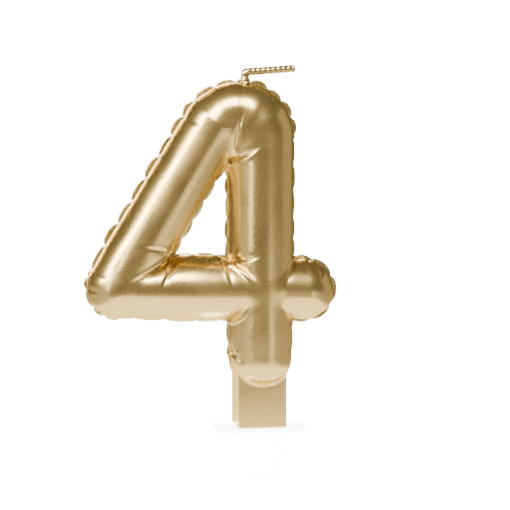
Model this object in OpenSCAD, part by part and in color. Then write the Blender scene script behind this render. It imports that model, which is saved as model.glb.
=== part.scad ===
// Number birthday candle: a wax figure 4 shaped like a foil balloon, on a clear cake pick.
// Frame: +Z up, -Y to the front, origin at the middle of the pick's flange, on its underside,
// which is where the candle rests on the icing. All sizes are in millimetres.

/* [Figure] */
// Height of the crossbar's centre line above the icing
bar_z = 32; // [28:0.1:40]
// Distance from the stem's centre line to the centre of the left corner
corner_reach = 31.8; // [27:0.1:40]
// Distance from the stem's centre line to the centre of the stub's round end
stub_reach = 10; // [8:0.1:16]
// Height of the centre of the bend at the top of the figure
bend_z = 64.8; // [58:0.1:78]
// Radius of the bend's centre line
bend_r = 5.6; // [4.6:0.1:8]
// Height of the centre of the stem's round lower end
stem_end_z = 17; // [14:0.1:21]

/* [Tubes] */
// Radius of the upright stem and of the bend
stem_r = 7.1; // [5.9:0.1:8.6]
// Radius of the crossbar and its stub
bar_r = 7; // [5.6:0.1:8.4]
// Radius of the slanting leg
leg_r = 6.5; // [5:0.1:7.8]
// How far the tubes' centres stand in front of the seam
tube_front = 2; // [0:0.1:3]

/* [Seam] */
// Thickness of the flat seam round the figure
seam_t = 0.9; // [0.6:0.1:1.4]
// How far a scallop stands out past the tube's edge
scallop_out = 1; // [0.6:0.1:2]
// Distance from one scallop to the next
scallop_pitch = 5.4; // [4:0.1:7]
// Radius of a scallop's arc
scallop_r = 3.4; // [3:0.1:4.5]

/* [Foot] */
// Width of the foot
foot_w = 10.8; // [9:0.1:12]
// Depth of the foot, front to back
foot_d = 10.4; // [8.6:0.1:12.6]
// Bevel along the foot's upright edges
foot_bevel = 0.5; // [0.2:0.1:1.2]

/* [Cake pick] */
// Width of the flange
flange_w = 20; // [16:0.1:26]
// Depth of the flange, front to back
flange_d = 11; // [9:0.1:14]
// Thickness of the flange
flange_t = 0.8; // [0.6:0.1:1.5]
// Width of the blade that goes into the cake
blade_w = 9.8; // [7:0.1:12]
// Length of the blade below the flange
blade_l = 11.8; // [10:0.1:20]
// Thickness of the blade and of the tang
blade_t = 1.6; // [1.2:0.1:2.2]
// Width of the tang that goes up into the foot
tang_w = 6; // [4:0.1:7]
// Height of the tang above the flange
tang_l = 8; // [6:0.1:10]
// Gap between the tang and its slot, on each side
tang_gap = 0.05; // [0.02:0.01:0.2]

/* [Wick] */
// Distance of the wick from the stem's centre line, towards the left
wick_left = 3.3; // [0:0.1:4]
// Height at which the wick's lower end lies
wick_low_z = 20; // [16:0.1:40]
// Radius of one cotton strand
strand_r = 0.2; // [0.15:0.01:0.26]
// Gap between the plait and the hole that it runs in
plait_gap = 0.04; // [0.02:0.01:0.1]
// Length of plait in which a strand comes back to the same side
plait_pitch = 7.2; // [6:0.1:9]
// Thickness of the wax on the bent tip
tip_wax = 0.18; // [0.1:0.01:0.4]
// Length of the bent tip, from the bend to its end
tip_l = 11.4; // [8:0.1:16]
// Angle of the bent tip above level
tip_tilt = 4.2; // [0:0.1:30]
// Thickness of the wax collar's wall
collar_wall = 0.54; // [0.4:0.01:1]
// How deep the collar is set into the figure
collar_set = 2.8; // [2:0.1:4]
// How far the collar stands out of the figure
collar_up = 0.56; // [0.5:0.01:1.5]
// Gap between the collar and the tip that swings over it
swing_gap = 0.1; // [0.05:0.01:0.2]

/* [Hidden] */
$fn = 96;

// Colours
gold = [0.74, 0.6, 0.34];
cotton = [0.93, 0.9, 0.82];
clear = [0.85, 0.9, 0.92, 0.35];

// The figure's skeleton, as [x, z] points in the plane of the seam
corner = [-corner_reach, bar_z];
stub_end = [stub_reach, bar_z];
bend = [-bend_r, bend_z];
stem_end = [0, stem_end_z];
// The leg runs from the corner and meets the bend at a tangent
leg_run = bend - corner;
leg_angle = atan2(leg_run.y, leg_run.x) + asin(bend_r / norm(leg_run));
bend_turn = leg_angle + 90;
leg_top = bend + bend_r * ray(bend_turn);
leg_into_bend = 2;

// The crook inside the bend is filled to a small flat, half of whose depth is this
crook_r = 1.2;
crook_half = sqrt(max(0, pow(stem_r, 2) - pow(bend_r - crook_r, 2)));

// Scallops: the arcs' centres lie this far inside the tubes' edges
scallop_in = scallop_r - scallop_out;
stem_edge = stem_r - scallop_in;
bar_edge = bar_r - scallop_in;
leg_edge = leg_r - scallop_in;
leg_left = leg_edge * ray(bend_turn);
// Corners of the counter, on the inner edges of the three tubes
bar_top_z = bar_z + bar_edge;
leg_inner = corner - leg_left;
counter_low_left = [leg_inner.x + (bar_top_z - leg_inner.y) / tan(leg_angle), bar_top_z];
counter_low_right = [-stem_edge, bar_top_z];
counter_top = [-stem_edge, leg_inner.y + (-stem_edge - leg_inner.x) * tan(leg_angle)];
// Every straight run of scallops, as [start, end]
STRAIGHT_RUNS = [
    [corner + leg_left, leg_top + leg_left],
    [[corner.x, bar_z - bar_edge], [-stem_r, bar_z - bar_edge]],
    [[-stem_edge, bar_z - bar_r], [-stem_edge, stem_end_z]],
    [[stem_edge, bar_z - bar_r], [stem_edge, stem_end_z]],
    [[stem_r, bar_z - bar_edge], [stub_reach, bar_z - bar_edge]],
    [[stem_r, bar_z + bar_edge], [stub_reach, bar_z + bar_edge]],
    [[stem_edge, bar_z + bar_r], [stem_edge, bend_z]],
    [counter_low_left, counter_top],
    [counter_top, counter_low_right],
    [counter_low_right, counter_low_left],
];
// Every curved run, as [centre, radius, first angle, last angle]
CURVED_RUNS = [
    [bend, bend_r + stem_edge, 0, bend_turn],
    [corner, bar_edge, bend_turn, 270],
    [stem_end, stem_edge, 180, 360],
    [stub_end, bar_edge, -90, 90],
];

// Cake pick and foot
foot_z = flange_t;
foot_top_z = stem_end_z;
tang_top_z = foot_z + tang_l;
slot_deeper = 0.3;
flange_corner = 1;

// Plait: the half width and half depth at the strands' centres keep the strands clear of each other
plait_a = 2.1 * strand_r;
plait_b = 1.45 * strand_r;
plait_hole_r = plait_a + strand_r + plait_gap;
wick_r = plait_hole_r + tip_wax;
collar_r = plait_hole_r + collar_wall;

// Wick: the seam's top edge above the wick, then the collar and the bend
bend_out = bend_r + stem_r + scallop_out;
seam_top_z = bend_z + sqrt(pow(bend_out, 2) - pow(bend_r - wick_left, 2));
collar_gap = 0.02;
collar_low_z = seam_top_z - collar_set;
collar_top_z = seam_top_z + collar_up;
collar_cone = 0.5;
pivot = [-wick_left, 0, collar_top_z + swing_gap + wick_r];
knuckle_w = 2 * wick_r;
tip_bore_from = wick_r + 0.26;
tip_strand_from = tip_bore_from + 0.1;
tip_end_gap = 0.1;
plait_step = plait_pitch / 12;
strand_sides = 8;

// A unit vector in the seam's plane
function ray(angle) = [cos(angle), sin(angle)];

// Evenly spaced points along a straight run and round a curved one, a scallop's pitch apart
function along(run) =
    let (length = norm(run[1] - run[0]), count = max(1, round(length / scallop_pitch)))
    [for (i = [0 : count - 1]) run[0] + (run[1] - run[0]) * (i + 0.5) / count];

function around(run) =
    let (turn = run[3] - run[2], count = max(1, round(run[1] * turn * PI / 180 / scallop_pitch)))
    [for (i = [0 : count - 1]) run[0] + run[1] * ray(run[2] + turn * (i + 0.5) / count)];

// Half the outline of a straight tube with round ends, for turning about its axis
module capsule_profile(length, r) {
    square([r, length]);
    for (end = [0, length]) {
        translate([0, end]) intersection() {
            circle(r);
            translate([0, -r]) square([r, 2 * r]);
        }
    }
}

// A round tube between two points of the skeleton
module tube(from, to, r) {
    run = to - from;
    translate([from.x, -tube_front, from.y])
        rotate([0, 90 - atan2(run.y, run.x), 0])
            rotate_extrude() capsule_profile(norm(run), r);
}

// The bend at the top, which carries the leg over into the stem
module bend_tube() {
    translate([bend.x, -tube_front, bend.y])
        rotate([90, 0, 0])
            rotate_extrude(angle = bend_turn) {
                intersection() {
                    translate([bend_r, 0]) circle(stem_r);
                    translate([0, -stem_r]) square([bend_r + stem_r, 2 * stem_r]);
                }
                if (crook_half > 0) translate([0, -crook_half]) square([crook_r, 2 * crook_half]);
            }
}

// Draws in the X-Z plane, with the given thickness centred on the plane of the seam
module upright_plate(thickness) {
    rotate([90, 0, 0]) linear_extrude(thickness, center = true) children();
}

// The flat scalloped seam, as one disc for each scallop
module seam() {
    upright_plate(seam_t) {
        for (run = STRAIGHT_RUNS) for (p = along(run)) translate(p) circle(scallop_r);
        for (run = CURVED_RUNS) for (p = around(run)) translate(p) circle(scallop_r);
    }
}

// The foot's outline, seen from above, with its four upright edges bevelled
module foot_outline() {
    x = foot_w / 2;
    y = foot_d / 2;
    b = foot_bevel;
    polygon([[x, y - b], [x - b, y], [b - x, y], [-x, y - b], [-x, b - y], [b - x, -y], [x - b, -y], [x, b - y]]);
}

// The slot that the pick's tang goes up into
module tang_slot() {
    w = tang_w + 2 * tang_gap;
    t = blade_t + 2 * tang_gap;
    translate([-w / 2, -t / 2, foot_z - slot_deeper]) cube([w, t, tang_l + 2 * slot_deeper]);
}

// A hole for the plait, from one height to another
module plait_hole(low_z, high_z) {
    translate([-wick_left, 0, low_z]) cylinder(h = high_z - low_z, r = plait_hole_r);
}

// The wax casting: the balloon-shaped figure and its foot in one piece
module wax_number() {
    color(gold) difference() {
        union() {
            tube(corner, leg_top + leg_into_bend * ray(leg_angle), leg_r);
            bend_tube();
            tube([0, bend_z], stem_end, stem_r);
            tube(corner, stub_end, bar_r);
            seam();
            translate([0, 0, foot_z]) linear_extrude(foot_top_z - foot_z) foot_outline();
        }
        tang_slot();
        plait_hole(wick_low_z, pivot.z);
        translate([-wick_left, 0, collar_low_z])
            cylinder(h = pivot.z - collar_low_z, r = collar_r + collar_gap);
    }
}

// The clear pick: a blade for the cake, a flange that rests on the icing, a tang for the foot
module cake_pick() {
    color(clear) {
        upright_plate(blade_t) {
            translate([-blade_w / 2, blade_w / 2 - blade_l]) square([blade_w, blade_l - blade_w / 2]);
            translate([0, blade_w / 2 - blade_l]) circle(blade_w / 2);
            translate([-tang_w / 2, 0]) square([tang_w, tang_top_z - tang_w / 4]);
            polygon([[-tang_w / 2, tang_top_z - tang_w / 4], [-tang_w / 4, tang_top_z],
                     [tang_w / 4, tang_top_z], [tang_w / 2, tang_top_z - tang_w / 4]]);
        }
        linear_extrude(flange_t) flange_outline();
    }
}

// The flange's outline, seen from above, with round corners
module flange_outline() {
    x = flange_w / 2 - flange_corner;
    y = flange_d / 2 - flange_corner;
    square([2 * x, flange_d], center = true);
    square([flange_w, 2 * y], center = true);
    for (side = [-x, x]) for (end = [-y, y]) translate([side, end]) circle(flange_corner);
}

// The bead of wax that stiffens the wick's root
module wick_collar() {
    color(gold) difference() {
        union() {
            translate([-wick_left, 0, collar_low_z])
                cylinder(h = collar_top_z - collar_cone - collar_low_z, r = collar_r);
            translate([-wick_left, 0, collar_top_z - collar_cone])
                cylinder(h = collar_cone, r1 = collar_r, r2 = collar_r - collar_cone / 2);
        }
        plait_hole(collar_low_z - 1, pivot.z);
    }
}

// The line of one strand of a three-strand plait at height z, where its share of the turn is 0, 1/3 or 2/3
function plait_point(z, share) =
    let (turn = 360 * (z / plait_pitch + share))
    [plait_a * sin(turn), plait_b * sin(2 * turn), z];

// One strand of the plait as a swept tube that starts at the origin and runs up +Z
module strand(length, share) {
    rings = ceil(length / plait_step);
    step = length / rings;
    points = [for (i = [0 : rings]) for (k = [0 : strand_sides - 1])
        plait_point(i * step, share) + strand_r * [cos(360 * k / strand_sides), sin(360 * k / strand_sides), 0]];
    sides = [for (i = [0 : rings - 1]) for (k = [0 : strand_sides - 1])
        let (next = (k + 1) % strand_sides, low = i * strand_sides, high = low + strand_sides)
        [low + k, high + k, high + next, low + next]];
    first_end = [for (k = [0 : strand_sides - 1]) k];
    last_end = [for (k = [strand_sides - 1 : -1 : 0]) rings * strand_sides + k];
    polyhedron(points, concat([first_end], sides, [last_end]));
}

// One of the three cotton strands inside the figure, from its lower end up to the bend
module wick_strand(number) {
    color(cotton)
        translate([-wick_left, 0, wick_low_z])
            strand(collar_top_z - wick_low_z, (number - 1) / 3);
}

// Turns what is drawn up +Z so that it lies along the bent tip
module along_tip() {
    translate(pivot) rotate([0, 90 - tip_tilt, 0]) children();
}

// The waxed outside of the bent tip, which turns about the bend
module tip_sheath() {
    color(gold) difference() {
        union() {
            translate(pivot) rotate([90, 0, 0]) cylinder(h = knuckle_w, r = wick_r, center = true);
            along_tip() cylinder(h = tip_l, r = wick_r);
        }
        along_tip() translate([0, 0, tip_bore_from]) cylinder(h = tip_l, r = plait_hole_r);
    }
}

// One of the three cotton strands inside the bent tip
module tip_strand(number) {
    color(cotton)
        along_tip() translate([0, 0, tip_strand_from])
            strand(tip_l - tip_strand_from - tip_end_gap, (number - 1) / 3);
}

wax_number();
cake_pick();
wick_collar();
wick_strand(1);  // wick_strand_1
wick_strand(2);  // wick_strand_2
wick_strand(3);  // wick_strand_3
tip_sheath();
tip_strand(1);  // tip_strand_1
tip_strand(2);  // tip_strand_2
tip_strand(3);  // tip_strand_3
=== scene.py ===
# %% [markdown]
# # A number birthday candle
#
# The candle is one wax casting in the shape of a foil balloon, a bent wick of plaited cotton,
# and a clear pick that holds it in a cake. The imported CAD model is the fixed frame: it says where
# every piece is and how it moves. This lesson gives each piece its real shape and finish.
# Lengths are worked out in millimetres and put into Blender in metres.

# %% Load the frame
import math

import bmesh
import bpy
import numpy as np
from mathutils import Matrix, Vector


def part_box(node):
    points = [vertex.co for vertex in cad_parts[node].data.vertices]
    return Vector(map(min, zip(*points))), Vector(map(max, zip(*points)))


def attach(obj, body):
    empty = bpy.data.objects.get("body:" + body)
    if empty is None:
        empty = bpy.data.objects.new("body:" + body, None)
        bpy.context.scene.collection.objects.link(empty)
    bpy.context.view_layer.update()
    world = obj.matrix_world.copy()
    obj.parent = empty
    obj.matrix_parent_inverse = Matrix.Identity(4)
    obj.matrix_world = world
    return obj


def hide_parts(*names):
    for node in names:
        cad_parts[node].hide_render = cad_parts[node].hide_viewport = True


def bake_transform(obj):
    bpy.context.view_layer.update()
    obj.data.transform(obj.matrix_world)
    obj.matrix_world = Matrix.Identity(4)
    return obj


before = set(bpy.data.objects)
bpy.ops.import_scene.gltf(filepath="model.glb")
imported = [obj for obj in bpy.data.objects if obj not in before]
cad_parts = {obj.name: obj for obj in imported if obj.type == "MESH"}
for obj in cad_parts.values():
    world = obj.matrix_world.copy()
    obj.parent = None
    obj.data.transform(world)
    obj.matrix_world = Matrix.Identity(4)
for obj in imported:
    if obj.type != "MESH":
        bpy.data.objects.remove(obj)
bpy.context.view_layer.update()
MM = 0.001

# %% [markdown]
# ## The camera
#
# A small object is taken with a long lens from about 40 cm, so its upright lines stay nearly
# parallel. The camera stands a little to the left and a little above. The lens is set from the
# distance, and a small shift slides the picture without turning the camera.

# %% Camera
CAMERA_AZIMUTH = -8.6       # degrees, towards the object's left
CAMERA_ELEVATION = 4.87     # degrees above level
CAMERA_DISTANCE = 400.5 * MM
LOOK_AT = Vector((-11, 0, 38)) * MM
SENSOR_MM, LENS_MM = 36, 127.0
PICTURE_SHIFT = (0.0872, 0.0116)


def stand_camera():
    """Puts the camera on a sphere round the point that it looks at."""
    azimuth, elevation = math.radians(CAMERA_AZIMUTH), math.radians(CAMERA_ELEVATION)
    back = Vector((math.sin(azimuth) * math.cos(elevation),
                   -math.cos(azimuth) * math.cos(elevation), math.sin(elevation)))
    data = bpy.data.cameras.new("long_lens")
    camera = bpy.data.objects.new("long_lens", data)
    bpy.context.scene.collection.objects.link(camera)
    camera.location = LOOK_AT + back * CAMERA_DISTANCE
    camera.rotation_mode = "QUATERNION"
    camera.rotation_quaternion = (-back).to_track_quat("-Z", "Y")
    data.sensor_width = SENSOR_MM
    data.lens = LENS_MM
    data.shift_x, data.shift_y = PICTURE_SHIFT
    data.clip_start, data.clip_end = 0.01, 10
    return camera


bpy.context.scene.camera = stand_camera()
print("camera at", [round(v, 3) for v in bpy.context.scene.camera.location])

# %% [markdown]
# ## The figure as a rule
#
# A foil balloon is a few fat tubes that run into each other, with a flat welded seam round the
# edge. Such a shape could be sculpted, or blown up as cloth. Here it is written as a rule: a
# function that is negative inside the wax and positive outside. The rule is the same whatever the
# grid, it gives one closed skin, and each crease is one line of plain numbers.
#
# First come the centre lines of the tubes, as x and z in the plane of the seam. They follow the
# CAD part's sizes, with the small leans that a blown shape has.

# %% Centre lines of the tubes
CORNER = np.array([-31.8, 32.5])
STUB_END = np.array([10.0, 31.45])
BEND = np.array([-5.5, 65.3])
BEND_R = 5.65
STEM_X, STEM_LOW, STEM_TOP = BEND[0] + BEND_R, 17.0, BEND[1]
TUBE_FRONT = 2.0            # the tubes' centres lie this far in front of the seam
FOOT_HALF = (5.4, 5.2)      # half of the foot's width and depth
FOOT_LOW, FOOT_TOP = 0.8, 17.0
FOOT_EDGE = 0.45            # radius of the foot's upright edges
STEM_BLUNT = 6.8            # height of the stem's round lower end


def ray(angle):
    return np.array([np.cos(angle), np.sin(angle)])


leg_run = BEND - CORNER
LEG_ANGLE = math.atan2(leg_run[1], leg_run[0]) + math.asin(BEND_R / np.linalg.norm(leg_run))
LEG_DIR, LEG_OUT = ray(LEG_ANGLE), ray(LEG_ANGLE + math.pi / 2)
LEG_LENGTH = float((BEND + BEND_R * LEG_OUT - CORNER) @ LEG_DIR)
TURN = math.degrees(LEG_ANGLE) + 90     # how far round the bend the leg begins, in degrees
bar_run = STUB_END - CORNER
BAR_LENGTH = float(np.linalg.norm(bar_run))
BAR_DIR = bar_run / BAR_LENGTH
BAR_UP = np.array([-BAR_DIR[1], BAR_DIR[0]])
print("leg", round(LEG_LENGTH, 1), "mm long at", round(math.degrees(LEG_ANGLE), 1), "degrees")

# %% [markdown]
# ## Widths, and the scalloped seam
#
# The tubes' widths change a little along their length. The seam stands out past them in
# scallops: a foil seam puckers, and each pucker is a notch with a rounded lobe on either side.
# Every run of seam is a list of the notches' places along it, and the lobes arch between them.

# %% Widths and scallops
def blend_between(value, places, widths):
    """Eases from width to width, level at each place, so that no edge shows there."""
    places, widths = np.asarray(places, float), np.asarray(widths, float)
    i = np.clip(np.searchsorted(places, value) - 1, 0, len(places) - 2)
    t = np.clip((value - places[i]) / (places[i + 1] - places[i]), 0, 1)
    return widths[i] + (widths[i + 1] - widths[i]) * t * t * (3 - 2 * t)


def smooth_step(value, low, high):
    t = np.clip((value - low) / (high - low), 0, 1)
    return t * t * (3 - 2 * t)


# name: (notches along the run, how far a notch and a lobe stand out past the tube)
RUNS = {
    "leg_outer": ([-5.5, 0.4, 6.5, 12.2, 17.8, 23.8, 29.5, 34.8, 39.8, 45], 0.3, 1.5),
    "leg_inner": ([4, 11.5, 16.5, 21.3, 26.1, 31, 37], 0.15, 1.0),
    "bend": ([-14, 3, 20, 38, 56, 76, 90, 112, 137, 163], 0.25, 1.45),
    "stem_right": ([11, 17, 22.8, 29, 38.5, 42.8, 47.6, 54, 59.2, 65.3, 71], 0.3, 0.85),
    "stem_left": ([12, 19.4, 24.6, 32, 37.5, 42.6, 47.5, 52.7, 56.6, 61], 0.2, 0.95),
    "bar_top": ([0, 6, 12.4, 16.4, 21.8, 27, 34, 39.2, 44], 0.25, 0.85),
    "bar_bottom": ([-2, 4, 10.6, 17.6, 23.2, 29, 34, 38.6, 45], 0.22, 0.75),
    "stub": ([-128, -75, -28.7, 24.5, 75, 128], 0.35, 1.35),
    "corner": ([140, 160, 183, 220, 245, 275], 0.3, 1.2),
    "stem_end": ([-20, 8, 40, 72, 104, 136, 168, 196], 0.25, 0.7),
}


def scallops(run, place):
    """How far the seam stands out past the tube at a place along a run."""
    notches, low, high = RUNS[run]
    notches = np.asarray(notches, float)
    i = np.clip(np.searchsorted(notches, place) - 1, 0, len(notches) - 2)
    u = np.clip((place - notches[i]) / (notches[i + 1] - notches[i]) * 2 - 1, -1, 1)
    lobe = high * (0.9 + 0.1 * np.sin(2.4 * i + len(run)))
    return low + (lobe - low) * (1 - np.abs(u) ** 2.4) ** 0.62


def leg_width(s):
    return blend_between(s, [0, 8, 20, 40], [6.5, 6.75, 6.55, 6.4])


def bend_width(degrees):
    return blend_between(degrees, [-10, 30, 60, 92, 125, 150], [7.15, 7.15, 6.8, 6.2, 5.95, 6.4])


def stem_width(z):
    return blend_between(z, [17, 24, 32, 45, 66], [6.75, 6.95, 7.1, 7.15, 7.15])


def bar_width(s):
    return blend_between(s, [0, 8, 18, 30, 42], [6.4, 6.75, 7.05, 6.75, 6.45])


print(len(RUNS), "runs of seam,", sum(len(r[0]) - 1 for r in RUNS.values()), "scallops")

# %% [markdown]
# ## Creases
#
# Where two tubes meet at an inner corner the foil has too much length, and it folds. Each crease
# starts deep at the corner and dies away across the tube. It is a valley with a sharp floor and a
# raised lip beside it, which is what catches the light.

# %% Creases
# (start x, z, end x, z, sideways bow, depth, half width, lip)
CREASES = [
    # the left inner corner
    (-19.7, 39.6, -29.6, 34.1, -0.5, 1.15, 0.55, 0.5),
    (-19.9, 39.9, -28.4, 41.6, 0.5, 0.5, 0.42, 0.3),
    (-19.4, 38.9, -22.8, 32.9, 0.3, 0.85, 0.42, 0.45),
    (-18.9, 38.9, -21.6, 35.2, 0.2, 0.45, 0.35, 0.2),
    # the right inner corner
    (-7.0, 38.5, -1.2, 39.7, 0.25, 0.8, 0.5, 0.5),
    (-6.8, 38.2, -1.6, 33.9, -0.3, 0.95, 0.5, 0.5),
    (-8.6, 38.9, -7.2, 32.6, 0.2, 0.6, 0.4, 0.35),
    # the fold that runs up into the bend, and its branches
    (-6.2, 63.5, -4.9, 71.8, -0.35, 0.55, 0.32, 0.15),
    (-6.4, 60.6, -1.4, 63.9, 0.2, 0.75, 0.5, 0.5),
    (-7.3, 60.0, -4.3, 60.9, 0.0, 0.35, 0.35, 0.1),
    # under the stub, above it, and under the bar
    (8.2, 38.9, 4.2, 33.2, 0.2, 0.75, 0.4, 0.4),
    (-7.6, 24.9, -3.6, 29.2, 0.4, 0.8, 0.5, 0.45),
    (8.0, 24.9, 3.6, 28.6, -0.4, 0.8, 0.5, 0.45),
    # small folds
    (-7.2, 18.6, -4.3, 15.9, 0.3, 0.7, 0.35, 0.3),
    (8.4, 39.2, 9.3, 35.6, 0.2, 0.35, 0.45, 0.25),
    (11.2, 38.8, 11.6, 35.2, 0.3, 0.5, 0.45, 0.35),
    (13.6, 37.6, 12.8, 34.4, 0.2, 0.45, 0.45, 0.3),
    (16.6, 34.6, 14.0, 32.8, 0.0, 0.3, 0.5, 0.2),
    (14.6, 25.0, 12.6, 27.8, 0.0, 0.35, 0.45, 0.2),
    (-37.4, 36.4, -34.0, 35.2, 0.0, 0.3, 0.5, 0.15),
    (-38.6, 32.2, -35.6, 31.9, 0.0, 0.3, 0.5, 0.15),
    (-36.2, 27.0, -34.4, 29.4, 0.0, 0.25, 0.5, 0.15),
    (-17.0, 69.5, -14.2, 68.2, 0.0, 0.3, 0.5, 0.15),
    (-12.4, 76.4, -11.2, 73.8, 0.0, 0.3, 0.5, 0.15),
    (3.2, 76.4, 1.2, 73.4, 0.0, 0.35, 0.5, 0.2),
    (7.3, 71.2, 4.4, 69.8, 0.0, 0.3, 0.5, 0.2),
]


def crease_depth(x, z):
    """How far the creases carve into the surface; negative where a lip stands up."""
    depth = np.zeros_like(x)
    for x0, z0, x1, z1, bow, deep, half, lip in CREASES:
        dx, dz = x1 - x0, z1 - z0
        length = math.hypot(dx, dz)
        t = ((x - x0) * dx + (z - z0) * dz) / length ** 2
        side = ((x - x0) * dz - (z - z0) * dx) / length - bow * 4 * t * (1 - t)
        near = (np.abs(side) < 6 * half) & (t > -0.35) & (t < 1.15)
        ts, ss = t[near], side[near]
        along = smooth_step(ts, -0.3, 0.08) * (1 - smooth_step(ts, 0.15, 1.08)) ** 0.8
        valley = np.exp(-np.sqrt(ss ** 2 + 0.01) / half)
        ridge = np.exp(-((ss - 1.5 * half) / (0.9 * half)) ** 2)
        depth[near] += deep * along * (valley - lip * ridge)
    return depth


print(len(CREASES), "creases")

# %% [markdown]
# ## Adding the parts together
#
# The distance to each tube is measured in the plane, then in depth. Where two tubes meet, a
# smooth minimum rounds the join, as air pressure does. The leg, bend and stem are one bent tube, so
# a point belongs to the nearest of them. Inside the bend that would leave a sharp valley, so there
# every stretch of the tube adds to the swelling round it, and the crook fills up. The seam is a
# thin plate whose rim is thicker than its floor, so each scallop holds a shallow pocket.

# %% The rule for the whole casting
def smooth_min(a, b, k):
    h = np.clip(k - np.abs(a - b), 0, None) / k
    return np.minimum(a, b) - h * h * k * 0.25


def smooth_max(a, b, k):
    return -smooth_min(-a, -b, k)


SWELL = 3.0                 # how far, in mm, one stretch of tube helps to lift another
CROOK_STEP = 0.8            # length of a stretch
CROOK_REACH = 26            # how far down the leg and the stem the stretches go
CROOK_START = (-3.5, 1.0)   # the swelling fades out from the inner side to the middle of the tube
CROOK_FADE = (9, 17)        # and with the distance from the bend's centre


def tube_stretches():
    """Centre and width of each stretch of the bent tube round the crook."""
    stretches = []
    for s in np.arange(LEG_LENGTH - CROOK_REACH, LEG_LENGTH, CROOK_STEP):
        stretches.append((CORNER + s * LEG_DIR, leg_width(s)))
    for degrees in np.arange(TURN, 0, -math.degrees(CROOK_STEP / BEND_R)):
        stretches.append((BEND + BEND_R * ray(math.radians(degrees)), bend_width(degrees)))
    for z in np.arange(STEM_TOP, STEM_TOP - CROOK_REACH, -CROOK_STEP):
        stretches.append((np.array([STEM_X, z]), stem_width(z)))
    return stretches


STRETCHES = tube_stretches()


def crook(x, z):
    """Squared distance and width where every stretch of the tube adds to the swelling round it."""
    total, weighted = np.full_like(x, 1e-12), np.zeros_like(x)
    for (cx, cz), width in STRETCHES:
        share = np.exp(-((x - cx) ** 2 + (z - cz) ** 2) / (2 * SWELL ** 2))
        total += share
        weighted += share * width
    level = total * CROOK_STEP / (math.sqrt(2 * math.pi) * SWELL)
    return -2 * SWELL ** 2 * np.log(level), weighted / total


def plan(x, z):
    """Everything about a point that depends only on its place in the plane of the seam."""
    p = {}
    px, pz = x - CORNER[0], z - CORNER[1]
    s, n = px * LEG_DIR[0] + pz * LEG_DIR[1], px * LEG_OUT[0] + pz * LEG_OUT[1]
    sc = np.clip(s, 0, LEG_LENGTH)
    leg_d, leg_r = np.hypot(s - sc, n), leg_width(sc)
    leg_seam = np.abs(n) - leg_r - np.where(n > 0, scallops("leg_outer", s), scallops("leg_inner", s))
    leg_seam = np.where((s < 0) | (s > LEG_LENGTH + 1), 9, leg_seam)

    bx, bz = x - BEND[0], z - BEND[1]
    degrees = np.degrees(np.arctan2(bz, bx))
    rho = np.hypot(bx, bz)
    on_bend = (degrees > 0) & (degrees < TURN)
    bend_d = np.where(on_bend, np.abs(rho - BEND_R), 99)
    bend_r = bend_width(degrees)
    bend_seam = np.where(on_bend, rho - BEND_R - bend_r - scallops("bend", degrees), 9)

    zc = np.clip(z, STEM_LOW, STEM_TOP)
    # the lower end is blunt: its front stays upright for longer than a ball's would
    below = np.clip((zc - z) / STEM_BLUNT, -2, 2)
    below = STEM_BLUNT * np.sign(below) * np.abs(below) ** np.where(z < STEM_LOW, 1.3, 1)
    stem_d, stem_r = np.hypot(x - STEM_X, below), stem_width(zc)
    side_scallops = np.where(x > STEM_X, scallops("stem_right", z), scallops("stem_left", z))
    stem_seam = np.abs(x - STEM_X) - stem_r - side_scallops
    stem_seam = np.where((z < STEM_LOW) | (z > STEM_TOP + 0.5), 9, stem_seam)
    end_angle = np.degrees(np.arctan2(STEM_LOW - z, x - STEM_X))
    stem_end = np.hypot(x - STEM_X, z - STEM_LOW) - stem_width(STEM_LOW) - scallops("stem_end", end_angle)
    stem_seam = np.minimum(stem_seam, np.where(z < STEM_LOW, stem_end, 9))

    t, u = px * BAR_DIR[0] + pz * BAR_DIR[1], px * BAR_UP[0] + pz * BAR_UP[1]
    tc = np.clip(t, 0, BAR_LENGTH)
    bar_d, bar_r = np.hypot(t - tc, u), bar_width(tc)
    bar_seam = np.abs(u) - bar_r - np.where(u > 0, scallops("bar_top", t), scallops("bar_bottom", t))
    bar_seam = np.where((t < 0) | (t > BAR_LENGTH), 9, bar_seam)
    stub_angle = np.degrees(np.arctan2(z - STUB_END[1], x - STUB_END[0]))
    stub_seam = np.hypot(x - STUB_END[0], z - STUB_END[1]) - bar_width(BAR_LENGTH)
    stub_seam = stub_seam - scallops("stub", stub_angle)
    corner_angle = np.degrees(np.arctan2(pz, px)) % 360
    corner_seam = np.where((corner_angle > TURN) & (corner_angle < 272),
                           np.hypot(px, pz) - bar_width(0) - scallops("corner", corner_angle), 9)

    # the bent tube is the nearest of leg, bend and stem, but in the crook they swell together
    reach = np.stack([leg_d - leg_r, bend_d - bend_r, stem_d - stem_r])
    nearest = reach.argmin(0)
    square = np.choose(nearest, [leg_d, bend_d, stem_d]) ** 2
    width = np.choose(nearest, [leg_r, bend_r, stem_r])
    outward = np.choose(nearest, [n, rho - BEND_R, x - STEM_X])
    inner = (1 - smooth_step(outward, *CROOK_START)) * (1 - smooth_step(rho, *CROOK_FADE))
    near = inner > 0
    swollen, swollen_r = crook(x[near], z[near])
    square[near] += inner[near] * (swollen - square[near])
    width[near] += inner[near] * (swollen_r - width[near])
    p["bent_square"], p["bent_width"] = square, width
    p["bar_d"], p["bar_width"] = bar_d, bar_r
    p["seam"] = np.minimum.reduce([leg_seam, bend_seam, stem_seam, bar_seam, stub_seam, corner_seam])
    p["crease"] = crease_depth(x, z)
    return p


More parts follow.
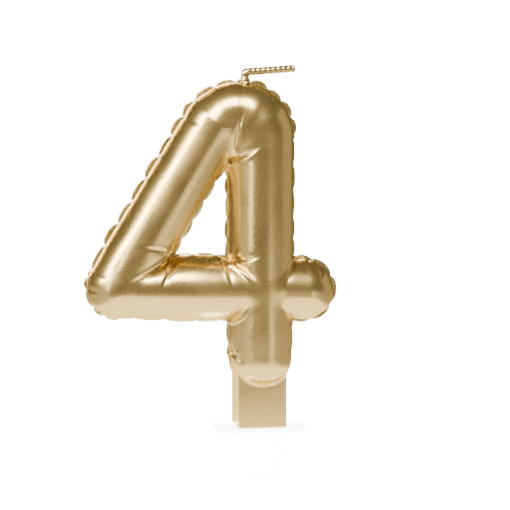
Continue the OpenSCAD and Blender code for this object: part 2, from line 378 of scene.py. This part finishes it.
PLATE_HALF, RIM = 0.24, 0.12    # half the seam's thickness, and how much its rim adds
TUBE_JOIN, FOOT_JOIN = 0.9, 0.6 # how softly the tubes and seam run together, and the foot into them
LIP_R, LIP_HALF = 6.2, 0.22     # the lip's reach round the stem's end, and half its thickness
TANG_HALF, TANG_TOP = (3.0, 0.8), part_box("cake_pick")[1][2] / MM
SLOT_GAP = 0.12                 # the slot is this much wider on each side than the tang in it
SLOT_HALF, SLOT_TOP = (TANG_HALF[0] + SLOT_GAP, TANG_HALF[1] + SLOT_GAP), TANG_TOP + 0.3


def foot_box(x, y, z):
    """The square foot, with its upright edges rounded."""
    qx = np.abs(x) - FOOT_HALF[0] + FOOT_EDGE
    qy = np.abs(y) - FOOT_HALF[1] + FOOT_EDGE
    middle, half = (FOOT_LOW + FOOT_TOP) / 2, (FOOT_TOP - FOOT_LOW) / 2
    outline = np.hypot(np.clip(qx, 0, None), np.clip(qy, 0, None))
    outline = outline + np.minimum(np.maximum(qx, qy), 0) - FOOT_EDGE
    return smooth_max(outline, np.abs(z - middle) - half, 0.3)


def tubes(x, y, p):
    """The tubes without their seam or foot."""
    depth = y + TUBE_FRONT
    bent = np.sqrt(np.clip(p["bent_square"] + depth ** 2, 1e-6, None)) - p["bent_width"]
    return smooth_min(bent, np.hypot(p["bar_d"], depth) - p["bar_width"], TUBE_JOIN) + p["crease"]


def solid(x, y, z, p):
    """Negative inside the casting and positive outside, in millimetres."""
    half = PLATE_HALF + RIM * np.exp(-((p["seam"] + 0.25) / 0.25) ** 2)
    plate = smooth_max(p["seam"], np.abs(y) - half, 0.25)
    body = smooth_min(tubes(x, y, p), plate, TUBE_JOIN)
    # a fine wavy lip where the balloon's round end meets the foot's front
    lip = np.hypot(x - STEM_X, z - STEM_LOW) - LIP_R - 0.1 * np.cos(x * 3.1)
    lip = smooth_max(np.maximum(lip, z - STEM_LOW - 1), np.abs(y + FOOT_HALF[1]) - LIP_HALF, 0.2)
    foot = smooth_min(foot_box(x, y, z), lip, 0.15)
    # the slot that the pick's tang goes up into
    slot = np.maximum.reduce([np.abs(x) - SLOT_HALF[0], np.abs(y) - SLOT_HALF[1], z - SLOT_TOP])
    foot = smooth_max(foot, -slot, 0.1)
    return smooth_min(body, foot, FOOT_JOIN)


def value_at(points):
    """The rule's value at each of a list of points."""
    x, y, z = points.T
    return solid(x, y, z, plan(x, z))


on_axis = value_at(np.array([[STEM_X, -TUBE_FRONT, 50.0]]))
print("on the stem's axis the rule gives", round(float(on_axis[0]), 2), "mm")

# %% [markdown]
# ## From the rule to a skin
#
# A grid of small cells covers the casting. Each cell that the surface passes through gets one
# corner, at the average of the places where the surface cuts its edges, and each cut edge gets
# one square face that joins the four cells round it. This is known as surface nets. The corners
# are then moved on to the exact surface along its slope.

# %% Surface nets
CELL = 0.32


def sample_grid(low, high):
    """The rule's value at every corner of the grid."""
    xs, ys, zs = [np.arange(a, b + CELL, CELL) for a, b in zip(low, high)]
    flat = plan(*np.meshgrid(xs, zs, indexing="ij"))
    values = np.empty((len(xs), len(ys), len(zs)), np.float32)
    for j, y in enumerate(ys):
        gx, gz = np.meshgrid(xs, zs, indexing="ij")
        values[:, j, :] = solid(gx, np.full_like(gx, y), gz, flat)
    return values


def surface_net(values, low):
    """One corner for each cell that the surface passes through, and one face for each cut edge."""
    inside = values < 0
    cells = np.array(values.shape) - 1
    total, count = np.zeros((*cells, 3), np.float32), np.zeros(cells, np.int32)
    faces_of = []
    for axis in range(3):
        a = [slice(None)] * 3
        b = [slice(None)] * 3
        a[axis], b[axis] = slice(0, -1), slice(1, None)
        va, vb = values[tuple(a)], values[tuple(b)]
        cut = inside[tuple(a)] != inside[tuple(b)]
        where = np.argwhere(cut)
        t = va[cut] / (va[cut] - vb[cut])
        point = where.astype(np.float32)
        point[:, axis] += t
        others = [k for k in range(3) if k != axis]
        ring = []
        for du, dv in ((0, 0), (1, 0), (1, 1), (0, 1)):
            cell = where.copy()
            cell[:, others[0]] -= du
            cell[:, others[1]] -= dv
            ring.append(cell)
            np.add.at(total, tuple(cell.T), point)
            np.add.at(count, tuple(cell.T), 1)
        faces_of.append((ring, inside[tuple(a)][cut] ^ (axis == 1)))
    used = count > 0
    index = -np.ones(cells, np.int64)
    index[used] = np.arange(used.sum())
    points = total[used] / count[used][:, None] * CELL + np.array(low)
    faces = []
    for ring, outward in faces_of:
        quad = np.stack([index[tuple(c.T)] for c in ring], 1)
        faces.append(np.where(outward[:, None], quad, quad[:, ::-1]))
    return points.astype(float), np.concatenate(faces)


def settle(points, rounds=3):
    """Moves each point on to the surface along its slope, by no more than a third of a cell."""
    step = 0.03
    for _ in range(rounds):
        value = value_at(points)
        ahead = [value_at(points + axis) for axis in np.eye(3) * step]
        behind = [value_at(points - axis) for axis in np.eye(3) * step]
        slope = np.stack([(a - b) / (2 * step) for a, b in zip(ahead, behind)], 1)
        size = np.clip((slope ** 2).sum(1), 0.3, None)
        move = -(value / size)[:, None] * slope
        length = np.linalg.norm(move, axis=1)
        points = points + move * np.minimum(1, CELL / 3 / np.maximum(length, 1e-9))[:, None]
    return points


low_corner, high_corner = (-41.5, -10.5, -0.2), (20.5, 6.5, 81.5)
points, faces = surface_net(sample_grid(low_corner, high_corner), low_corner)
points = settle(points)
print("casting:", len(points), "points,", len(faces), "faces")


# %% Put the skin into Blender
def add_object(name, points_mm, faces, smooth=True):
    mesh = bpy.data.meshes.new(name)
    mesh.from_pydata((np.asarray(points_mm) * MM).tolist(), [], [list(f) for f in faces])
    mesh.update()
    if smooth:
        mesh.shade_smooth()
    obj = bpy.data.objects.new(name, mesh)
    bpy.context.scene.collection.objects.link(obj)
    return obj


def face_outward(obj):
    """Turns every face of a closed mesh to the outside."""
    mesh = bmesh.new()
    mesh.from_mesh(obj.data)
    bmesh.ops.recalc_face_normals(mesh, faces=mesh.faces)
    mesh.to_mesh(obj.data)
    mesh.free()


def ring_faces(size, count):
    """Faces that join rings of the same size one after another, with a cap at each end."""
    faces = [(r * size + k, r * size + (k + 1) % size, (r + 1) * size + (k + 1) % size, (r + 1) * size + k)
             for r in range(count - 1) for k in range(size)]
    return faces + [tuple(range(size))[::-1], tuple(range((count - 1) * size, count * size))]


casting = add_object("casting", points, faces)
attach(casting, "candle")
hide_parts("wax_number")

# %% [markdown]
# ## The welded rim
#
# The seam ends in a thin round bead, which shows as a bright line round every scallop. It has the
# same section all along and follows a path, so Geometry Nodes make it: the path's edges become
# curves, and a small circle is drawn along them. The path leaves out the stretches that are
# buried where two tubes meet.

# %% The bead's path
BEAD_R, BEAD_IN, BEAD_STEP = 0.2, 0.2, 0.28


def place_on_run(run, t):
    """The point of the seam's edge at place t along a run, pulled in by the bead's inset."""
    out = float(scallops(run, np.array([t]))[0]) - BEAD_IN
    if run in ("leg_outer", "leg_inner"):
        side = 1 if run == "leg_outer" else -1
        return CORNER + t * LEG_DIR + side * (leg_width(t) + out) * LEG_OUT
    if run in ("bar_top", "bar_bottom"):
        side = 1 if run == "bar_top" else -1
        return CORNER + t * BAR_DIR + side * (bar_width(t) + out) * BAR_UP
    if run in ("stem_right", "stem_left"):
        side = 1 if run == "stem_right" else -1
        return np.array([STEM_X + side * (stem_width(t) + out), t])
    stem_end = np.array([STEM_X, STEM_LOW])
    centre, radius = {"bend": (BEND, BEND_R + bend_width(t)), "stub": (STUB_END, bar_width(BAR_LENGTH)),
                      "corner": (CORNER, bar_width(0)), "stem_end": (stem_end, stem_width(STEM_LOW))}[run]
    return centre + (radius + out) * ray(math.radians(-t if run == "stem_end" else t))


CHAINS = [
    [("bar_bottom", BAR_LENGTH, 0), ("corner", 271, TURN), ("leg_outer", 0, LEG_LENGTH), ("bend", TURN, 0),
     ("stem_right", STEM_TOP, STEM_LOW), ("stem_end", 0, 180), ("stem_left", STEM_LOW, STEM_TOP)],
    [("bar_top", 0, BAR_LENGTH), ("stub", 90, -90)],
    [("leg_inner", 0, LEG_LENGTH)],
]


# Millimetres along the seam for each unit of a run's places: round runs are told in degrees
RUN_SCALE = {"bend": math.radians(12), "stub": math.radians(7), "corner": math.radians(7),
             "stem_end": math.radians(7)}


def bead_paths():
    """The open stretches of the seam's edge, each a list of points."""
    paths = []
    for chain in CHAINS:
        line = []
        for run, start, end in chain:
            steps = max(2, int(abs(end - start) * RUN_SCALE.get(run, 1) / BEAD_STEP))
            line += [place_on_run(run, t) for t in np.linspace(start, end, steps)]
        line = np.array(line)
        line[1:-1] = (line[:-2] + 2 * line[1:-1] + line[2:]) / 4
        x, z = line.T
        p, y = plan(x, z), np.zeros_like(x)
        buried = (tubes(x, y, p) < -0.15) | (p["seam"] < -0.75) | (foot_box(x, y, z) < -0.1)
        stretch = []
        for point, hidden in zip(line, buried):
            if hidden:
                paths.append(stretch)
                stretch = []
            else:
                stretch.append(point)
        paths.append(stretch)
    return [path for path in paths if len(path) > 8]


BEAD_PATHS = bead_paths()
print(len(BEAD_PATHS), "stretches of bead,", sum(len(path) for path in BEAD_PATHS), "points")


# %% Geometry Nodes draw the bead
def bead_tree(material):
    tree = bpy.data.node_groups.new("bead_along_path", "GeometryNodeTree")
    for label, kind in (("Geometry", "NodeSocketGeometry"), ("Bead radius", "NodeSocketFloat"),
                        ("Sides", "NodeSocketInt")):
        tree.interface.new_socket(label, in_out="INPUT", socket_type=kind)
    tree.interface.new_socket("Geometry", in_out="OUTPUT", socket_type="NodeSocketGeometry")
    nodes, link = tree.nodes, tree.links.new
    given, made = nodes.new("NodeGroupInput"), nodes.new("NodeGroupOutput")
    curve, ring = nodes.new("GeometryNodeMeshToCurve"), nodes.new("GeometryNodeCurvePrimitiveCircle")
    sweep, realize = nodes.new("GeometryNodeCurveToMesh"), nodes.new("GeometryNodeRealizeInstances")
    smooth, paint = nodes.new("GeometryNodeSetShadeSmooth"), nodes.new("GeometryNodeSetMaterial")
    link(given.outputs["Geometry"], curve.inputs["Mesh"])
    link(given.outputs["Bead radius"], ring.inputs["Radius"])
    link(given.outputs["Sides"], ring.inputs["Resolution"])
    link(curve.outputs["Curve"], sweep.inputs["Curve"])
    link(ring.outputs["Curve"], sweep.inputs["Profile Curve"])
    sweep.inputs["Fill Caps"].default_value = True
    link(sweep.outputs["Mesh"], smooth.inputs["Geometry"])
    link(smooth.outputs["Geometry"], realize.inputs["Geometry"])
    link(realize.outputs["Geometry"], paint.inputs["Geometry"])
    paint.inputs["Material"].default_value = material
    link(paint.outputs["Geometry"], made.inputs["Geometry"])
    return tree


def set_input(modifier, label, value):
    for item in modifier.node_group.interface.items_tree:
        if item.in_out == "INPUT" and item.name == label:
            modifier[item.identifier] = value


def bake(obj):
    """The evaluated object as a plain mesh, with the modifiers gone."""
    mesh = bpy.data.meshes.new_from_object(obj.evaluated_get(bpy.context.evaluated_depsgraph_get()))
    obj.modifiers.clear()
    obj.data = mesh
    return obj


def make_bead(material):
    points, edges = [], []
    for path in BEAD_PATHS:
        first = len(points)
        points += [(x * MM, 0, z * MM) for x, z in path]
        edges += [(i, i + 1) for i in range(first, len(points) - 1)]
    mesh = bpy.data.meshes.new("seam_bead")
    mesh.from_pydata(points, edges, [])
    bead = bpy.data.objects.new("seam_bead", mesh)
    bpy.context.scene.collection.objects.link(bead)
    modifier = bead.modifiers.new("bead", "NODES")
    modifier.node_group = bead_tree(material)
    set_input(modifier, "Bead radius", BEAD_R * MM)
    set_input(modifier, "Sides", 8)
    bake(bead)
    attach(bead, "candle")
    return bead


# %% [markdown]
# ## Gold lacquer
#
# The wax is sprayed with a satin gold lacquer. It is a metal paint: its flakes give a fine
# sparkle, and the coat is a little uneven, so its gloss varies softly over the surface.

# %% Shader helpers and the lacquer
def new_group(name, inputs, outputs):
    tree = bpy.data.node_groups.new(name, "ShaderNodeTree")
    for direction, sockets in (("INPUT", inputs), ("OUTPUT", outputs)):
        for label, kind, value in sockets:
            socket = tree.interface.new_socket(label, in_out=direction, socket_type=kind)
            if value is not None and direction == "INPUT":
                socket.default_value = value
    return tree, tree.nodes.new("NodeGroupInput"), tree.nodes.new("NodeGroupOutput")


def lacquer_group():
    """Colour, roughness and height of a sprayed metallic coat."""
    tree, given, made = new_group(
        "sprayed_metal",
        [("Colour", "NodeSocketColor", (0.5, 0.35, 0.15, 1)),
         ("Dark", "NodeSocketColor", (0.3, 0.2, 0.07, 1)),
         ("Flake scale", "NodeSocketFloat", 4000), ("Cloud scale", "NodeSocketFloat", 120),
         ("Roughness", "NodeSocketFloat", 0.3)],
        [("Colour", "NodeSocketColor", None), ("Roughness", "NodeSocketFloat", None),
         ("Height", "NodeSocketFloat", None)])
    nodes, link = tree.nodes, tree.links.new
    place = nodes.new("ShaderNodeTexCoord").outputs["Object"]

    def noise(scale_socket, detail):
        node = nodes.new("ShaderNodeTexNoise")
        link(place, node.inputs["Vector"])
        link(scale_socket, node.inputs["Scale"])
        node.inputs["Detail"].default_value = detail
        return node.outputs["Fac"]

    flakes = noise(given.outputs["Flake scale"], 1)
    clouds = noise(given.outputs["Cloud scale"], 3)

    def stretch(value, *limits):
        node = nodes.new("ShaderNodeMapRange")
        link(value, node.inputs["Value"])
        for socket, limit in zip(("From Min", "From Max", "To Min", "To Max"), limits):
            node.inputs[socket].default_value = limit
        return node.outputs["Result"]

    mix = nodes.new("ShaderNodeMix")
    mix.data_type = "RGBA"
    link(stretch(flakes, 0.35, 0.65, 0.0, 1.0), mix.inputs["Factor"])
    link(given.outputs["Dark"], mix.inputs["A"])
    link(given.outputs["Colour"], mix.inputs["B"])
    link(mix.outputs["Result"], made.inputs["Colour"])
    rough = nodes.new("ShaderNodeMath")
    link(stretch(clouds, 0.3, 0.7, -0.03, 0.05), rough.inputs[0])
    link(given.outputs["Roughness"], rough.inputs[1])
    link(rough.outputs["Value"], made.inputs["Roughness"])
    link(flakes, made.inputs["Height"])
    return tree


LACQUER = lacquer_group()


def group_node(material, group, **values):
    node = material.node_tree.nodes.new("ShaderNodeGroup")
    node.node_tree = group
    for label, value in values.items():
        node.inputs[label.replace("_", " ")].default_value = value
    return node


BUMP_HEIGHT = 0.00002                 # metres
GRAZING_GOLD = (0.95, 0.78, 0.5, 1)   # the colour at grazing angles


def gold(name, colour, dark, roughness, bump):
    material = bpy.data.materials.new(name)
    material.use_nodes = True
    shader = material.node_tree.nodes["Principled BSDF"]
    link = material.node_tree.links.new
    coat = group_node(material, LACQUER, Colour=(*colour, 1), Dark=(*dark, 1), Roughness=roughness)
    link(coat.outputs["Colour"], shader.inputs["Base Color"])
    link(coat.outputs["Roughness"], shader.inputs["Roughness"])
    shader.inputs["Metallic"].default_value = 1
    shader.inputs["Specular Tint"].default_value = GRAZING_GOLD
    node = material.node_tree.nodes.new("ShaderNodeBump")
    node.inputs["Strength"].default_value = bump
    node.inputs["Distance"].default_value = BUMP_HEIGHT
    link(coat.outputs["Height"], node.inputs["Height"])
    link(node.outputs["Normal"], shader.inputs["Normal"])
    return material


gold_wax = gold("gold_wax", (0.73, 0.60, 0.33), (0.62, 0.50, 0.26), 0.27, 0.22)
casting.data.materials.append(gold_wax)
print("lacquer group has", len(LACQUER.nodes), "nodes")

# %% The bead in gold
bead = make_bead(gold_wax)
print("bead:", len(bead.data.polygons), "faces")

# %% [markdown]
# ## The wick
#
# The wick is a three-strand plait, dipped in wax and sprayed with the casting, and folded over to
# one side. The wax hides the gaps, but each strand still shows as a row of low lumps. So the skin
# is a tube along the fold whose width at each angle is the reach of the nearest strand.

# %% The wick's skin
WICK_X, WICK_FOLD_Z = -3.3, 79.84     # where the lines of the upright part and the tip cross
WICK_TILT = math.radians(4.2)         # the tip rises by this much
WICK_LOW, WICK_END = 77.2, 11.45      # its lower end's height, and the tip's length from the crossing
FOLD_R = 0.62
RING_STEP, RING_SIDES = 0.09, 28
PLAIT_PITCH = 3.4                     # length in which a strand comes back to its place
STRAND_R, PLAIT_WIDE, PLAIT_DEEP = 0.34, 0.40, 0.2


def wick_line():
    """Centre, direction and length along of each ring."""
    rings = []
    up = np.array([0.0, 0.0, 1.0])
    out = np.array([math.cos(WICK_TILT), 0, math.sin(WICK_TILT)])
    turn = math.pi / 2 - WICK_TILT
    tangent = FOLD_R * math.tan(turn / 2)
    top = np.array([WICK_X, 0, WICK_FOLD_Z])
    low = np.array([WICK_X, 0, WICK_LOW])
    rise = WICK_FOLD_Z - tangent - WICK_LOW
    for h in np.arange(0, rise, RING_STEP):
        rings.append((low + up * h, up, h))
    centre = top - up * tangent + np.array([FOLD_R, 0, 0])
    for a in np.arange(0, turn, RING_STEP / FOLD_R * 0.8):
        point = centre + FOLD_R * np.array([-math.cos(a), 0, math.sin(a)])
        rings.append((point, np.array([math.sin(a), 0, math.cos(a)]), rise + a * FOLD_R))
    begin = top + out * tangent
    s = rise + turn * FOLD_R
    for h in np.arange(0, WICK_END - tangent, RING_STEP):
        rings.append((begin + out * h, out, s + h))
    return rings


def plait_reach(angle, s):
    """How far the strands reach at an angle round the wick; angle 0 points to the front."""
    reach = np.full_like(angle, 0.3)
    for strand in range(3):
        phase = 2 * math.pi * (s / PLAIT_PITCH + strand / 3)
        across, deep = PLAIT_WIDE * math.sin(phase), PLAIT_DEEP * math.sin(2 * phase)
        along = across * np.sin(angle) + deep * np.cos(angle)
        off = across * np.cos(angle) - deep * np.sin(angle)
        chord = np.clip(STRAND_R ** 2 - off ** 2, 0, None)
        reach = np.maximum(reach, np.where(chord > 0, along + np.sqrt(chord), 0))
    return reach


def skin_reach(angles, s, total):
    """Radius of the skin at each angle: a mound at the root, a swelling at the fold, a round end."""
    root = math.exp(-s / 0.75)
    width = 0.66 + 0.3 * (plait_reach(angles, s) - 0.42) * (1 + 1.6 * root) + 0.10
    width = width + 0.55 * root + 0.05 * math.exp(-((s - 2.6) / 0.8) ** 2)
    left = total - s
    width = np.maximum(width, 0.67 if left > 0.9 else 0.6)
    return width * (math.sqrt(max(0.02, 1 - (1 - left / 0.45) ** 2)) if left < 0.45 else 1)


def make_wick(material):
    rings = wick_line()
    total = rings[-1][2]
    angles = np.linspace(0, 2 * math.pi, RING_SIDES, endpoint=False)
    side = np.array([0.0, -1.0, 0.0])
    points = []
    for centre, ahead, s in rings:
        across = np.cross(ahead, side)
        for a, w in zip(angles, skin_reach(angles, s, total)):
            points.append(centre + w * (math.cos(a) * side + math.sin(a) * across))
    skin = add_object("wick_skin", points, ring_faces(RING_SIDES, len(rings)))
    face_outward(skin)
    skin.data.materials.append(material)
    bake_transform(skin)
    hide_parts("wick_collar", "tip_sheath")
    return skin


gold_wick = gold("gold_wick", (0.77, 0.66, 0.40), (0.52, 0.43, 0.22), 0.26, 0.6)
wick = make_wick(gold_wick)
print("wick skin:", len(wick.data.polygons), "faces")

# %% [markdown]
# ## Cotton strands
#
# Under the skin the CAD strands stay as they are. They are undyed cotton soaked in wax, so they
# are pale, rough and a little translucent, with fine fibres that run along them.

# %% Cotton
def cotton_material():
    material = bpy.data.materials.new("cotton")
    material.use_nodes = True
    nodes, link = material.node_tree.nodes, material.node_tree.links.new
    shader = nodes["Principled BSDF"]
    place, fibres = nodes.new("ShaderNodeTexCoord"), nodes.new("ShaderNodeTexWave")
    link(place.outputs["Object"], fibres.inputs["Vector"])
    fibres.inputs["Scale"].default_value = 2200
    fibres.inputs["Distortion"].default_value = 6
    ramp = nodes.new("ShaderNodeValToRGB")
    ramp.color_ramp.elements[0].color = (0.55, 0.48, 0.36, 1)
    ramp.color_ramp.elements[1].color = (0.86, 0.82, 0.72, 1)
    link(fibres.outputs["Fac"], ramp.inputs["Fac"])
    link(ramp.outputs["Color"], shader.inputs["Base Color"])
    shader.inputs["Roughness"].default_value = 0.75
    bump = nodes.new("ShaderNodeBump")
    bump.inputs["Distance"].default_value = 0.00003
    link(fibres.outputs["Fac"], bump.inputs["Height"])
    link(bump.outputs["Normal"], shader.inputs["Normal"])
    return material


cotton = cotton_material()
for name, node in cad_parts.items():
    if "strand" in name:
        node.data.materials.clear()
        node.data.materials.append(cotton)
print("cotton on", sum("strand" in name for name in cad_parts), "strands")

# %% [markdown]
# ## The clear pick
#
# The pick is one moulding of clear plastic: a blade that goes into the cake, a flange that rests on
# the icing, and a tang that goes up into the foot and shows when the candle is lifted. Clear
# plastic is seen by its edges, so they are rounded, and each catches a thin line of light.

# %% Pick
def rounded_outline(half_x, half_y, radius, steps=6):
    """A rectangle with round corners."""
    outline = []
    for quarter in range(4):
        cx = (half_x - radius) * (1 if quarter in (0, 3) else -1)
        cy = (half_y - radius) * (1 if quarter < 2 else -1)
        for k in range(steps + 1):
            a = math.pi / 2 * (quarter + k / steps)
            outline.append((cx + radius * math.cos(a), cy + radius * math.sin(a)))
    return outline


def prism(outline, lift, bevel):
    """A plate with rounded edges: rings of the outline, pulled in at both faces."""
    centre = np.mean(outline, axis=0)
    span = np.ptp(np.array(outline), axis=0) / 2
    low, high = lift
    levels = [(low + bevel * (1 - math.cos(a)), bevel * (1 - math.sin(a)))
              for a in (0, math.pi / 6, math.pi / 3, math.pi / 2)]
    levels += [(high - (h - low), inset) for h, inset in levels[::-1]]
    points = []
    for height, inset in levels:
        ring = centre + (np.array(outline) - centre) * (1 - inset / span)
        points += [(x, y, height) for x, y in ring]
    return points, ring_faces(len(outline), len(levels))


def clear_material():
    material = bpy.data.materials.new("clear_plastic")
    material.use_nodes = True
    nodes, link = material.node_tree.nodes, material.node_tree.links.new
    shader = nodes["Principled BSDF"]
    shader.inputs["Base Color"].default_value = (0.97, 0.98, 0.98, 1)
    shader.inputs["IOR"].default_value = 1.49
    shader.inputs["Transmission Weight"].default_value = 1
    place, haze = nodes.new("ShaderNodeTexCoord"), nodes.new("ShaderNodeTexNoise")
    link(place.outputs["Object"], haze.inputs["Vector"])
    haze.inputs["Scale"].default_value = 350
    rough = nodes.new("ShaderNodeMapRange")
    link(haze.outputs["Fac"], rough.inputs["Value"])
    rough.inputs["To Min"].default_value, rough.inputs["To Max"].default_value = 0.02, 0.12
    link(rough.outputs["Result"], shader.inputs["Roughness"])
    shader.inputs["Alpha"].default_value = 0.4
    return material


clear = clear_material()
pick_low, pick_high = [np.array(c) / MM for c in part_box("cake_pick")]
FLANGE_T, FLANGE_CORNER = 0.8, 2.0
BLADE_HALF, PLATE_T = 4.9, 1.6
PICK_BEVEL = 0.15
BURIED = 0.3                    # the blade and the tang go this far into the flange


def upright(outline, thickness):
    """A prism of an outline in x and z, standing across the candle."""
    points, faces = prism(outline, (-thickness / 2, thickness / 2), PICK_BEVEL)
    return [(x, -y, z) for x, z, y in points], faces


flange_half = (pick_high - pick_low) / 2
flange_outline = rounded_outline(flange_half[0], flange_half[1], FLANGE_CORNER)
blade_outline = [(BLADE_HALF * math.cos(a), pick_low[2] + BLADE_HALF + BLADE_HALF * math.sin(a))
                 for a in np.linspace(math.pi, 2 * math.pi, 25)]
blade_outline += [(BLADE_HALF, BURIED), (-BLADE_HALF, BURIED)]
tang_x, shoulder_z, tang_low = TANG_HALF[0], TANG_TOP - TANG_HALF[0] / 2, FLANGE_T - BURIED
tang_outline = [(-tang_x, tang_low), (tang_x, tang_low), (tang_x, shoulder_z),
                (tang_x / 2, TANG_TOP), (-tang_x / 2, TANG_TOP), (-tang_x, shoulder_z)]
flange_obj = add_object("pick_flange", *prism(flange_outline, (0, FLANGE_T), PICK_BEVEL), smooth=False)
blade_obj = add_object("pick_blade", *upright(blade_outline, PLATE_T), smooth=False)
tang_obj = add_object("pick_tang", *upright(tang_outline, 2 * TANG_HALF[1]), smooth=False)
for piece in (flange_obj, blade_obj, tang_obj):
    face_outward(piece)
    piece.data.materials.append(clear)
    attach(piece, "pick")
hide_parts("cake_pick")
print("pick:", sum(len(piece.data.polygons) for piece in (flange_obj, blade_obj, tang_obj)), "faces")

# %% [markdown]
# ## Studio
#
# Polished metal is only as good as what it reflects. Two soft lights hang at the front and to the
# upper left, a narrow one stands lower on the left, and a wide weak one fills in from the right.
# A bright sheet lies under the candle and ends less than 10 cm in front of it, with dimmer sheets to
# its sides, so the lower side of each tube turns cream and its middle stays brown. The room is dim
# to the metal. To the eye, the table, the sheets and the world are all plain white.

# %% Floor, lights and world
WARM = (0.973, 0.817, 0.473, 1)   # warm studio light, as the gold sees it
WHITE = 18                        # brightness of the backdrop, as the eye sees it
ROOM, TABLE = 0.24, 0.28          # brightness of the room and the table, as the metal sees them
TABLE_HALF = 900


def seen_ray(nodes, link):
    """1 for rays that the eye follows, straight or through clear plastic, and 0 for reflections."""
    path, either = nodes.new("ShaderNodeLightPath"), nodes.new("ShaderNodeMath")
    either.operation = "MAXIMUM"
    link(path.outputs["Is Camera Ray"], either.inputs[0])
    link(path.outputs["Is Transmission Ray"], either.inputs[1])
    return either.outputs["Value"]


def glow_material(name, seen, felt):
    """White to the camera, and a chosen brightness to everything else."""
    material = bpy.data.materials.new(name)
    material.use_nodes = True
    nodes, link = material.node_tree.nodes, material.node_tree.links.new
    nodes.remove(nodes["Principled BSDF"])
    eye, room = nodes.new("ShaderNodeEmission"), nodes.new("ShaderNodeEmission")
    mix = nodes.new("ShaderNodeMixShader")
    eye.inputs["Strength"].default_value, room.inputs["Strength"].default_value = seen, felt
    room.inputs["Color"].default_value = WARM
    link(seen_ray(nodes, link), mix.inputs["Fac"])
    link(room.outputs["Emission"], mix.inputs[1])
    link(eye.outputs["Emission"], mix.inputs[2])
    link(mix.outputs["Shader"], nodes["Material Output"].inputs["Surface"])
    return material


def lay(name, corners, height, felt):
    """A flat sheet, white to the eye and of a chosen brightness to the metal."""
    mesh = bpy.data.meshes.new(name)
    mesh.from_pydata([(x * MM, y * MM, height * MM) for x, y in corners], [], [tuple(range(len(corners)))])
    sheet = bpy.data.objects.new(name, mesh)
    bpy.context.scene.collection.objects.link(sheet)
    mesh.materials.append(glow_material(name + "_glow", WHITE, felt))
    return sheet


def soft_light(name, place, size, radiance, along=(1, 0, 0), aim=(-8, 0, 42)):
    """A rectangle that faces the candle; radiance is its brightness as the metal sees it."""
    data = bpy.data.lights.new(name, "AREA")
    data.shape = "RECTANGLE"
    data.size, data.size_y = size[0] * MM, size[1] * MM
    data.energy = radiance * math.pi * data.size * data.size_y
    data.color = WARM[:3]
    light = bpy.data.objects.new(name, data)
    back = (Vector(place) - Vector(aim)).normalized()
    side = (Vector(along) - Vector(along).dot(back) * back).normalized()
    turned = Matrix((side, back.cross(side), back)).transposed()
    light.location = Vector(place) * MM
    light.rotation_mode = "QUATERNION"
    light.rotation_quaternion = turned.to_quaternion()
    light.visible_camera = False
    bpy.context.scene.collection.objects.link(light)
    return light


def make_world(seen, felt):
    world = bpy.data.worlds.new("studio")
    bpy.context.scene.world = world
    world.use_nodes = True
    nodes, link = world.node_tree.nodes, world.node_tree.links.new
    eye, room = nodes["Background"], nodes.new("ShaderNodeBackground")
    eye.inputs["Strength"].default_value, room.inputs["Strength"].default_value = seen, felt
    eye.inputs["Color"].default_value = (1, 1, 1, 1)
    room.inputs["Color"].default_value = WARM
    mix = nodes.new("ShaderNodeMixShader")
    link(seen_ray(nodes, link), mix.inputs["Fac"])
    link(room.outputs["Background"], mix.inputs[1])
    link(eye.outputs["Background"], mix.inputs[2])
    link(mix.outputs["Shader"], nodes["World Output"].inputs["Surface"])


# name: (corners in x and y, height above the table, brightness as the metal sees it)
SHEETS = {
    "table": ([(-TABLE_HALF, -TABLE_HALF), (TABLE_HALF, -TABLE_HALF), (TABLE_HALF, TABLE_HALF),
               (-TABLE_HALF, TABLE_HALF)], -0.05, TABLE),
    "sheet_middle": ([(-70, -60), (-30, -95), (60, -95), (90, 200), (-80, 200)], -0.02, 3.4),
    "sheet_left": ([(-70, -60), (-80, 200), (-600, 300), (-600, -500)], -0.02, 1.0),
    "sheet_right": ([(60, -95), (190, -480), (440, -480), (440, 300), (90, 200)], -0.02, 0.75),
    "sheet_edge": ([(70, -115), (140, -480), (220, -480), (95, -115)], -0.01, 4),
}
for name, (corners, height, felt) in SHEETS.items():
    lay(name, corners, pick_low[2] + height, felt)
soft_light("front_key", (-75, -345, 415), (230, 190), 32)
soft_light("left_key", (-400, -200, 315), (380, 85), 48, along=(1.0, -0.5, 0.45))
soft_light("left_strip", (-383, -346, 130), (45, 260), 16, along=(1, -1.1, 0), aim=(0, 0, 60))
soft_light("right_fill", (520, 60, 160), (500, 420), 0.45, along=(0, 1, 0))
make_world(WHITE, ROOM)
bpy.context.scene.view_settings.view_transform = "AgX"
